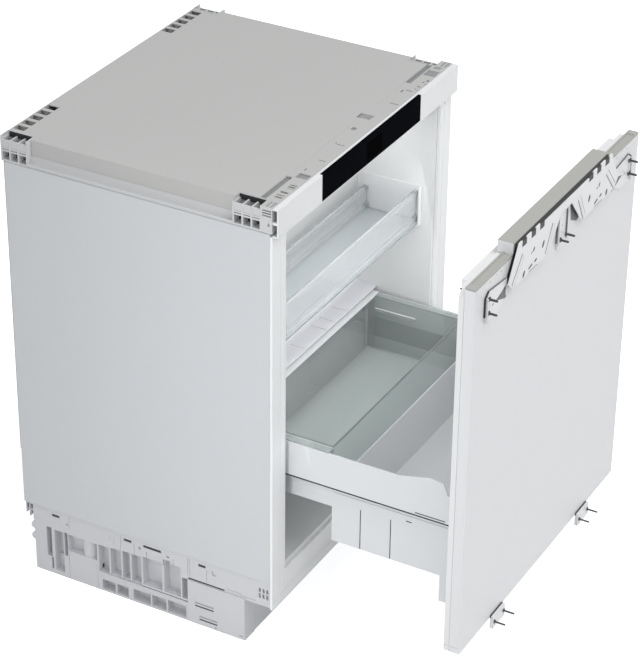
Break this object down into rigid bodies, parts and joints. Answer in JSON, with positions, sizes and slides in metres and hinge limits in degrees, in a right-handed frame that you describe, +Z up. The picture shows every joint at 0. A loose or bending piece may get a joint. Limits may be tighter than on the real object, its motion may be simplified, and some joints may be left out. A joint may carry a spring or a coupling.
{
  "type": "undercounter drawer refrigerator",
  "caption": "Built-in undercounter refrigerator whose whole front pulls out as a drawer on telescopic rails, with a rear bin, a bottle bin, an upper rack and brackets for a furniture front",
  "frame": {"origin": "On the floor, at the middle of the cabinet's base: halfway between its sides, and halfway between the fascia's face and the rear edge of the top", "axes": "+X to the right seen from the front, +Y to the rear, away from the drawer's front, +Z up"},
  "size_m": [0.597, 0.8523, 0.82],
  "materials": {
    "fascia_white": "satin white moulding",
    "side_paint": "light grey painted sheet steel",
    "top_grey": "matt mid grey board",
    "top_edge": "matt light grey moulding",
    "base_grey": "matt light grey moulding",
    "black_gloss": "black touch panel, glossy",
    "display_black": "dark display window, glossy",
    "liner_white": "white liner, satin",
    "clear_plastic": "clear plastic with a faint grey green tint",
    "shelf_glass": "clear glass",
    "drawer_white": "white plastic, satin",
    "door_paint": "white painted sheet steel, satin",
    "door_trim": "matt grey beige plastic",
    "bracket_white": "white coated pressed steel",
    "steel": "zinc plated steel",
    "galvanised": "galvanised sheet steel",
    "aluminium": "bare aluminium",
    "foam": "rigid insulating foam",
    "gasket": "soft light grey door seal",
    "black_metal": "black painted steel",
    "black_plastic": "black plastic"
  },
  "bodies": {
    "cabinet": {"side_panel_left": "side_paint", "side_panel_right": "side_paint", "shell_lid_and_rear": "galvanised", "machine_room_cover": "galvanised", "base_floor": "galvanised", "insulation_foam": "foam", "inner_liner": "liner_white", "rear_housing": "liner_white", "front_frame": "fascia_white", "fascia": "fascia_white", "rack_end_plate_left": "fascia_white", "rack_end_plate_right": "fascia_white", "control_panel": "black_gloss", "display_window": "display_black", "top_panel": "top_grey", "top_front_rail": "top_edge", "top_side_rail_left": "top_edge", "top_side_rail_right": "top_edge", "fan_motor": "black_plastic", "drip_tray": "black_plastic", "power_inlet": "black_plastic", "evaporator": "aluminium", "rack_glass_shelf": "shelf_glass", "rack_front_guard": "clear_plastic", "rack_rear_guard": "clear_plastic", "base_skirt_left": "base_grey", "base_skirt_right": "base_grey", "skirt_cover_left": "base_grey", "skirt_cover_right": "base_grey", "plinth_panel": "base_grey", "compressor": "black_metal", "condenser": "steel", "rail_fixed_left": "steel", "rail_fixed_right": "steel"},
    "drawer": {"rail_drawer_left": "steel", "rail_drawer_right": "steel", "drawer_cross_rail": "steel", "drawer_side_left": "drawer_white", "drawer_side_right": "drawer_white", "glass_bin": "clear_plastic", "bin_rear_rim": "drawer_white", "bottle_bin": "drawer_white", "door_front_panel": "door_paint", "door_insulation": "foam", "door_back_panel": "liner_white", "door_gasket": "gasket", "door_top_trim": "door_trim", "mounting_traverse": "bracket_white", "end_bracket_left": "bracket_white", "end_bracket_right": "bracket_white", "centre_bracket": "bracket_white", "door_clamp_left": "steel", "door_clamp_right": "steel"},
    "middle_rail_left": {"rail_middle_left": "steel"},
    "middle_rail_right": {"rail_middle_right": "steel"},
    "fan_wheel": {"circulation_fan": "drawer_white"},
    "foot_fl": {"foot_front_left": "black_plastic"},
    "foot_fr": {"foot_front_right": "black_plastic"},
    "foot_rl": {"foot_rear_left": "black_plastic"},
    "foot_rr": {"foot_rear_right": "black_plastic"}
  },
  "joints": [
    {"name": "drawer_slide", "type": "slide", "parent": "cabinet", "child": "drawer", "axis": [0, -1, 0], "range_m": [-0.297, 0.11]},
    {"name": "middle_rail_left_slide", "type": "slide", "parent": "cabinet", "child": "middle_rail_left", "axis": [0, -1, 0], "range_m": [-0.1485, 0.055]},
    {"name": "middle_rail_right_slide", "type": "slide", "parent": "cabinet", "child": "middle_rail_right", "axis": [0, -1, 0], "range_m": [-0.1485, 0.055]},
    {"name": "fan_spin", "type": "hinge", "parent": "cabinet", "child": "fan_wheel", "pos_m": [0, -0.0778, 0.69], "axis": [0, 1, 0], "continuous": true},
    {"name": "foot_front_left_screw", "type": "slide", "parent": "cabinet", "child": "foot_fl", "axis": [0, 0, -1], "range_m": [0, 0.05]},
    {"name": "foot_front_right_screw", "type": "slide", "parent": "cabinet", "child": "foot_fr", "axis": [0, 0, -1], "range_m": [0, 0.05]},
    {"name": "foot_rear_left_screw", "type": "slide", "parent": "cabinet", "child": "foot_rl", "axis": [0, 0, -1], "range_m": [0, 0.05]},
    {"name": "foot_rear_right_screw", "type": "slide", "parent": "cabinet", "child": "foot_rr", "axis": [0, 0, -1], "range_m": [0, 0.05]}
  ],
  "couplings": [
    {"joint": "middle_rail_left_slide", "follows": "drawer_slide", "ratio": 0.5},
    {"joint": "middle_rail_right_slide", "follows": "drawer_slide", "ratio": 0.5}
  ]
}
